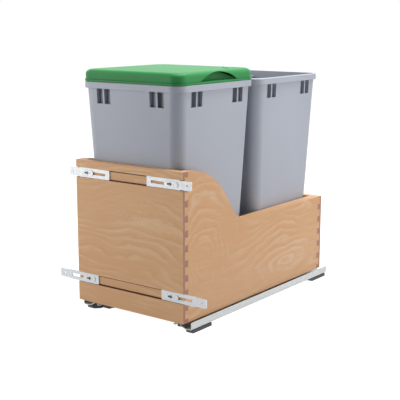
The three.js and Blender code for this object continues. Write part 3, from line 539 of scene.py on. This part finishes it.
def grip_painted_shade(recipe, middle):
    """How much painted shade a bin's grip recess gets: nought on its walls, and most on a recess's
    far side.
    """
    place = recipe.add("SeparateXYZ", {0: recipe.place.outputs["Object"]}).outputs
    back = recipe.math("SUBTRACT", place["Y"], middle)
    off_x = recipe.math("ABSOLUTE", place["X"])
    off_y = recipe.math("ABSOLUTE", back)
    wall = recipe.math("ADD", recipe.math("MULTIPLY", place["Z"], BIN_DRAFT), BIN_BASE_HALF)
    depth = recipe.math("SUBTRACT", wall, recipe.math("MAXIMUM", off_x, off_y))
    inside = between(recipe, recipe.math("MINIMUM", off_x, off_y), *GRIP_BAND)
    inside = recipe.math("MULTIPLY", inside, between(recipe, depth, *GRIP_DEPTHS))
    inside = recipe.math("MULTIPLY", inside, between(recipe, place["Z"], *GRIP_HEIGHTS))

    on_front_wall = recipe.math("GREATER_THAN", off_y, off_x)
    along = recipe.add("Mix", {"Factor": on_front_wall, "A": recipe.math("MULTIPLY", back, -1.0),
                               "B": place["X"]}).outputs["Result"]
    negative = recipe.math("LESS_THAN", along, 0.0)
    start = recipe.remap(negative, (0.0, 1.0), -GRIP_BAND[0], GRIP_BAND[1])
    step = recipe.math("FLOORED_MODULO", recipe.math("ADD", along, start), GRIP_PITCH)
    return recipe.math("MULTIPLY", inside, recipe.remap(step, (0.0, GRIP_WIDTH), *GRIP_TONES))


print("grips:", round(1000 * GRIP_WIDTH, 1), "mm wide, every", round(1000 * GRIP_PITCH), "mm")

# %% [markdown]
# ## Plastics
# The bins and the lid are injection-moulded: one even colour, a satin gloss and a very fine
# grain that comes from the mould's surface. A single colour would look painted, so the tone
# changes slowly over a large wall, and the fine grain goes into the bump, where it breaks up the
# highlights. The lid is deeper in colour than the bins, and reflects less.

# %% Mix the plastics
PATCHES = (5.0, 5.0, 3.0)         # slow changes of tone, to a metre
PATCH_SHARE = 0.75                # of the tone, where the fine grain has the rest
MOULD_GRAIN = (1400.0,) * 3
MOULD_GRAIN_DEPTH, MOULD_GRAIN_STRENGTH = 0.00004, 0.4
FRONT_BIN_MIDDLE = -0.14285       # along Y
REAR_BIN_MIDDLE = 0.12495


def moulded(name, main, shade, roughness, middle=None, **uniform):
    """Moulded plastic: two near tones in slow patches, and a fine grain in the bump."""
    recipe = Recipe(name, Roughness=roughness, **uniform)
    patches = recipe.noise(recipe.stretch(PATCHES), detail=3.0)
    specks = recipe.noise(recipe.stretch(MOULD_GRAIN), detail=1.0)
    tone = recipe.math("ADD", recipe.remap(patches, NARROW_SPAN, 0.0, PATCH_SHARE),
                       recipe.remap(specks, MAIN_SPAN, 0.0, 1.0 - PATCH_SHARE))
    face = recipe.mix(tone, main, shade)
    if middle is not None:
        # Painted shade in the grip recesses, for a bin whose middle is given.
        face = recipe.mix(grip_painted_shade(recipe, middle), face, GRIP_SHADE)
    recipe.feed(recipe.shader.inputs["Base Color"], face)
    recipe.bump(specks, MOULD_GRAIN_DEPTH, MOULD_GRAIN_STRENGTH)
    return recipe.material


bin_grey = colour(169, 174, 185), colour(161, 166, 178), 0.42
front_bin_plastic = moulded("grey bin plastic", *bin_grey, middle=FRONT_BIN_MIDDLE)
rear_bin_plastic = moulded("grey rear bin plastic", *bin_grey, middle=REAR_BIN_MIDDLE)
lid_plastic = moulded("green lid plastic", colour(57, 142, 80), colour(53, 136, 75), 0.38,
                      Specular_IOR_Level=0.12)
foot_plastic = moulded("dark foot plastic", colour(46, 47, 49), colour(34, 35, 37), 0.5)
nylon = moulded("white nylon", colour(232, 230, 222), colour(222, 220, 212), 0.4)
print("plastic materials:", 5)

# %% [markdown]
# ## Metals
# The slides are bent from zinc-plated sheet, which is pale and half matt, with faint streaks
# from the rollers that run along it. The door brackets have a whiter coat, and the screws are
# plain dark steel. A fully metallic shader would mirror the white ground and lose its shape, so
# the plated sheets are only partly metallic. The streaks are noise that is stretched along the
# piece, and a mottled roughness breaks up the reflections.

# %% Mix the metals
ALONG_SLIDE = (300.0, 6.0, 300.0)
ALONG_BRACKET = (10.0, 200.0, 200.0)
CELLS = (160.0, 160.0, 160.0)
STREAK_SHARE = 0.6                # of the tone, where the cells have the rest
SMOOTHER, ROUGHER = 0.06, 0.08    # how far the roughness goes down and up
STREAK_DEPTH, STREAK_STRENGTH = 0.00003, 0.3


def plated(name, main, shade, roughness, metallic, streak=ALONG_SLIDE):
    """Plated sheet: pale streaks along the rolling direction, and a mottled roughness."""
    recipe = Recipe(name, Metallic=metallic, Roughness=roughness)
    streaks = recipe.noise(recipe.stretch(streak), detail=2.0)
    cells = recipe.noise(recipe.stretch(CELLS), detail=2.0)
    tone = recipe.math("ADD", recipe.remap(streaks, MAIN_SPAN, 0.0, STREAK_SHARE),
                       recipe.remap(cells, MAIN_SPAN, 0.0, 1.0 - STREAK_SHARE))
    recipe.feed(recipe.shader.inputs["Base Color"], recipe.mix(tone, main, shade))
    recipe.feed(recipe.shader.inputs["Roughness"],
                recipe.remap(cells, MAIN_SPAN, roughness - SMOOTHER, roughness + ROUGHER))
    recipe.bump(streaks, STREAK_DEPTH, STREAK_STRENGTH)
    return recipe.material


zinc = plated("zinc plate", colour(194, 197, 198), colour(174, 177, 177), 0.36, 0.6)
bracket_steel = plated("white plated bracket", colour(216, 220, 222), colour(204, 208, 211),
                       0.4, 0.3, streak=ALONG_BRACKET)
screw_steel = plated("screw steel", colour(104, 106, 110), colour(78, 80, 84), 0.32, 0.9)
print("metal materials:", 3)

# %% [markdown]
# ## Finishes on the CAD nodes
# A CAD node whose shape is right stays in the picture and only gets a better finish. The
# record already says which slot each node is painted from, so the materials are dealt out by
# slot. A few nodes need their own: a board whose grain runs the other way, and the rear bin,
# whose grips lie elsewhere.

# %% Deal out the finishes
finish_of_slot = {
    "wood_board": side_wood, "wood_bottom": inner_wood, "grey_bin": front_bin_plastic,
    "green_lid": lid_plastic, "zinc_rail": zinc, "white_bracket": bracket_steel,
    "dark_plastic": foot_plastic, "nylon": nylon, "screw_steel": screw_steel,
}
finish_of_node = {
    "front_panel": front_wood, "back_panel": back_wood, "rear_bin": rear_bin_plastic,
    "left_bin_guide": inner_wood, "right_bin_guide": inner_wood,
}
slot_of_node = {part["node"]: part["material_slot"] for part in frame["record"]["subparts"]}


def finish_for(node):
    return finish_of_node.get(node, finish_of_slot[slot_of_node[node]])


for node, cad_object in nodes.items():
    for material_slot in cad_object.material_slots:
        material_slot.material = finish_for(node)
print("finished nodes:", len(nodes))

# %% [markdown]
# ## Softened copies
# A CAD solid has flat facets and knife edges. No sawn board, moulded bin or bent rail has them.
# Shading the node smooth isn't enough, because its loose triangles share no edges. So a copy of
# its mesh is merged, and its coplanar triangles are dissolved into whole faces, after which
# curves can be shaded smooth and edges bevelled.

# %% Copy a node's mesh and add it as a piece
WELD_DISTANCE = 1e-6
FLAT_ANGLE = 0.5                  # degrees between triangles that make one flat face
CAD_SHADING = ("custom_normal", "sharp_edge", "sharp_face")


def copy_of(node):
    """The merged triangles of a CAD node, with its flat faces in one piece each."""
    form = bmesh.new()
    form.from_mesh(nodes[node].data)
    bmesh.ops.remove_doubles(form, verts=form.verts, dist=WELD_DISTANCE)
    bmesh.ops.dissolve_limit(form, angle_limit=radians(FLAT_ANGLE), use_dissolve_boundaries=False,
                             verts=form.verts, edges=form.edges, delimit=set())
    return form


def add_piece(name, form, node):
    """Makes an object from a bmesh, dresses it like a node and lets it stand for that node."""
    mesh = bpy.data.meshes.new(name)
    form.to_mesh(mesh)
    form.free()
    for attribute in CAD_SHADING:
        if attribute in mesh.attributes:
            mesh.attributes.remove(mesh.attributes[attribute])
    mesh.materials.clear()
    mesh.materials.append(finish_for(node))
    piece = bpy.data.objects.new(name, mesh)
    scene.collection.objects.link(piece)
    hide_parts(node)
    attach(piece, body_of_node[node])
    return piece


print("a copy loses its", len(CAD_SHADING), "kinds of CAD shading")

# %% [markdown]
# ## Rounded edges
# A mould leaves a small round on every edge of a bin and a lid, and it shows as a fine highlight.
# The boards and rails keep their edges, which are crisp on the real ones. Each copy is smooth
# across curves, sharp past an angle that lies between a facet and a corner, and its weighted
# normals keep large faces flat. It takes the node's place, and collision still uses the node.

# %% Soften the boards, rails, bins and lid
SHARP_ANGLE = 32.0                # degrees: facets of a curve meet at less, edges at more
BEVEL_SEGMENTS = 2
BIN_EDGE = 0.0006
LID_EDGE = 0.0004


def soften(piece, edge):
    """Smooth curves, rounded hard edges and flats that stay flat."""
    mesh = piece.data
    mesh.shade_smooth()
    if edge:
        bevel = piece.modifiers.new("rounded edges", "BEVEL")
        bevel.width = edge
        bevel.segments = BEVEL_SEGMENTS
        bevel.limit_method = "ANGLE"
        bevel.angle_limit = radians(SHARP_ANGLE)
        bevel.harden_normals = False
    mesh.set_sharp_from_angle(angle=radians(SHARP_ANGLE))
    weigh = piece.modifiers.new("flat faces stay flat", "WEIGHTED_NORMAL")
    weigh.keep_sharp = True


edge_of_node = {
    f"{side}_{name}": 0.0
    for name in ("side", "cabinet_rail", "middle_rail", "drawer_rail") for side in ("left", "right")
}
edge_of_node.update({"front_bin": BIN_EDGE, "rear_bin": BIN_EDGE, "front_bin_lid": LID_EDGE})
for node, edge in edge_of_node.items():
    soften(add_piece(f"{node}_softened", copy_of(node), node), edge)
print("softened copies:", len(edge_of_node))
